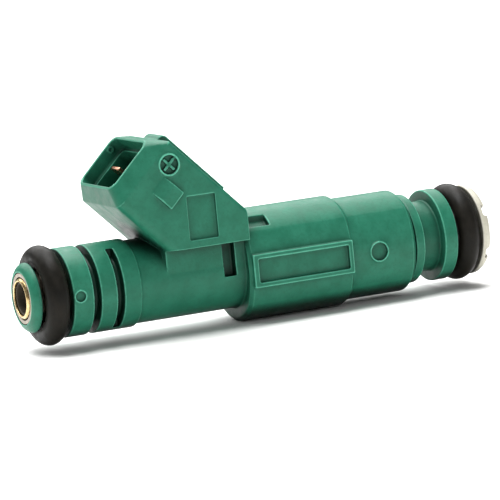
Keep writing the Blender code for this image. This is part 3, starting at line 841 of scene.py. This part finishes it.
def make_valve_body():
    x0, x1, outer = span("valve_body")
    tip = 3.4
    seat_bore = SPRAY_END - 7.0
    outline = [(x0, 3.25), (x0, 3.65), (50.65, 3.65), (50.65, outer), (60.5, outer), (60.5, tip),
               (x1 - 0.25, tip), (x1, tip - 0.3), (x1, 3.05), (x1 - 0.15, 2.75), (seat_bore, 2.75),
               (seat_bore, 1.9), (52.3, 1.9), (52.3, 3.25)]
    turned_piece("nozzle_body", outline, STAINLESS, "valve_steel", "valve_body", edge=0.15)
    x0, x1, outer = span("stop_washer")
    washer = tool("washer", lambda bm: turned(bm, rounded(tube_outline(x0, x1, 1.25, outer), 0.1), 128))
    gap = tool("washer_gap", lambda bm: box(bm, (x0 - 1, -0.9, 0), (x1 + 1, 0.9, 4)))
    mesh = mould(washer, [], [gap], 0.08)
    finish_piece("lift_washer", mesh, STAINLESS, "valve_steel", BODY, "stop_washer")
    plates = (("needle_guide", "guide_ring", 1.95, 0.35, 1.25), ("spray_disc", "orifice_disc", 0.6, 0.15, 0))
    for name, node, ring_radius, hole_radius, inner in plates:
        x0, x1, outer = span(node)
        if inner:
            outline = tube_outline(x0, x1, inner, outer)
        else:
            outline = [(x0, 0), (x0, outer), (x1, outer), (x1, 0)]
        plate = tool("plate", lambda bm: turned(bm, rounded(outline, 0.06), 96, 0.3))

        def holes(bm):
            for k in range(4):
                angle = math.radians(45 + 90 * k)
                centre_y, centre_z = ring_radius * math.cos(angle), ring_radius * math.sin(angle)
                turns = [2 * math.pi * s / 24 for s in range(24)]
                loft(bm, [[(x, centre_y + hole_radius * math.cos(a), centre_z + hole_radius * math.sin(a))
                           for a in turns] for x in (x0 - 1, x1 + 1)])
        mesh = mould(plate, [], [tool("holes", holes)], 0.05)
        finish_piece(name, mesh, STAINLESS, "valve_steel", BODY, node)
    x0, x1, outer = span("valve_seat")
    outline = [(x0, 1.75), (x0, outer), (x1, outer), (x1, 0.42), (x1 - 0.3, 0.42), (x0 + 0.97, 1.75)]
    turned_piece("seat", outline, STAINLESS, "valve_steel", "valve_seat", edge=0.08)


def make_valve_group():
    x0, x1, outer = span("armature")
    outline = [(x0, 1.5), (x0, outer), (x0 + 1.2, outer), (x0 + 1.3, outer - 0.08),
               (x1 - 1.3, outer - 0.08), (x1 - 1.2, outer), (x1, outer), (x1, 1.15), (47.5, 1.15),
               (47.5, 1.5)]
    turned_piece("armature_slug", outline, MAGNETIC, "magnetic_steel", "armature", NEEDLE)
    x0, x1, outer = span("valve_needle")
    shaft = NEEDLE_RADIUS
    outline = [(x0, 0.5), (x0, shaft), (52.35, shaft), (52.35, outer), (53.3, outer), (53.3, shaft),
               (x1, shaft), (x1, 0.5)]
    needle = tool("needle", lambda bm: turned(bm, rounded(outline, 0.08), 96))

    def port(bm):
        angles = [2 * math.pi * s / 24 for s in range(24)]
        loft(bm, [[(62 + 0.35 * math.cos(a), y, 0.35 * math.sin(a)) for a in angles] for y in (-2, 2)])
    mesh = mould(needle, [], [tool("port", port)], 0.06)
    finish_piece("hollow_needle", mesh, STAINLESS, "valve_steel", NEEDLE, "valve_needle")
    x0, x1, outer = span("valve_ball")
    centre, radius = (x0 + x1) / 2, (x1 - x0) / 2
    steps = 48
    angles = [math.pi * k / steps for k in range(1, steps)]
    arc = [(centre - radius * math.cos(a), radius * math.sin(a)) for a in angles]
    bm = bmesh.new()
    turned(bm, [(x0, 0)] + arc + [(x1, 0)], 96)
    mesh = new_mesh("sealing_ball", bm)
    finish_piece("sealing_ball", mesh, STAINLESS, "valve_steel", NEEDLE, "valve_ball")
    x0, x1, outer = span("return_spring")
    wire = 0.2
    bm = bmesh.new()
    helix(bm, x0 + wire, x1 - wire, outer - wire, wire, 7)
    mesh = new_mesh("closing_spring", bm)
    finish_piece("closing_spring", mesh, SPRING, "spring_steel", BODY, "return_spring")


# ---------------------------------------------------------------- stage

def make_camera():
    """Long lens from the inlet side, rolled so that the injector climbs to the right."""
    azimuth, roll, lift = math.radians(23.565), math.radians(-8.865), math.radians(8.5)
    distance = 507.4
    back = Vector((-math.sin(azimuth), -math.cos(azimuth), 0))
    right = Vector((math.cos(azimuth), -math.sin(azimuth), 0))
    upward = Vector((0, 0, 1))
    across = right * math.cos(roll) + upward * math.sin(roll)
    above = upward * math.cos(roll) - right * math.sin(roll)
    target = Vector((37.31, 0, 1.847))
    raise_up = Matrix.Rotation(-lift, 3, "X")
    across, above, back_up = raise_up @ across, raise_up @ above, raise_up @ back
    centre = PLACE @ (raise_up @ (target + back * distance))
    data = bpy.data.cameras.new("camera")
    data.lens = 252
    data.sensor_width = 36
    data.clip_start = 0.01
    data.clip_end = 20
    camera = bpy.data.objects.new("camera", data)
    bpy.context.scene.collection.objects.link(camera)
    camera.matrix_world = Matrix((
        (across.x, above.x, back_up.x, centre.x),
        (across.y, above.y, back_up.y, centre.y),
        (across.z, above.z, back_up.z, centre.z),
        (0, 0, 0, 1)))
    bpy.context.scene.camera = camera


def make_floor():
    bm = bmesh.new()
    bmesh.ops.create_grid(bm, x_segments=4, y_segments=4, size=6)
    floor = new_object("floor", new_mesh("floor", bm))
    mat = bpy.data.materials.new("pale_floor")
    mat.use_nodes = True
    shader = mat.node_tree.nodes["Principled BSDF"]
    shader.inputs["Base Color"].default_value = (0.93, 0.93, 0.92, 1)
    shader.inputs["Roughness"].default_value = 0.9
    shader.inputs["Specular IOR Level"].default_value = 0.1
    floor.data.materials.append(mat)


def area_light(name, place, aim, size, watts, colour=(1, 1, 1)):
    data = bpy.data.lights.new(name, "AREA")
    data.shape = "RECTANGLE"
    data.size, data.size_y = size
    data.energy = watts
    data.color = colour
    light = bpy.data.objects.new(name, data)
    light.location = place
    light.rotation_euler = (Vector(aim) - Vector(place)).to_track_quat("-Z", "Y").to_euler()
    bpy.context.scene.collection.objects.link(light)


def make_lights():
    world = bpy.data.worlds.new("studio")
    bpy.context.scene.world = world
    world.use_nodes = True
    background = world.node_tree.nodes["Background"]
    background.inputs["Color"].default_value = (1, 1, 1, 1)
    background.inputs["Strength"].default_value = 0.3
    centre = (0, 0, AXIS_HEIGHT)
    area_light("top_softbox", (-0.02, 0.06, 0.5), centre, (0.5, 0.3), 4.8)
    area_light("front_fill", (0.05, -0.6, 0.3), centre, (0.35, 0.3), 0.5)
    area_light("floor_wash", (0.1, 1.6, 1.2), (0.1, 1.3, 0), (2.4, 1.6), 45)
    view = bpy.context.scene.view_settings
    view.view_transform = "Standard"
    view.look = "None"


make_camera()
make_floor()
make_lights()
make_housing()
make_rings()
make_seals()
make_cap()
make_inlet()
make_blades()
make_solenoid()
make_core()
make_valve_body()
make_valve_group()
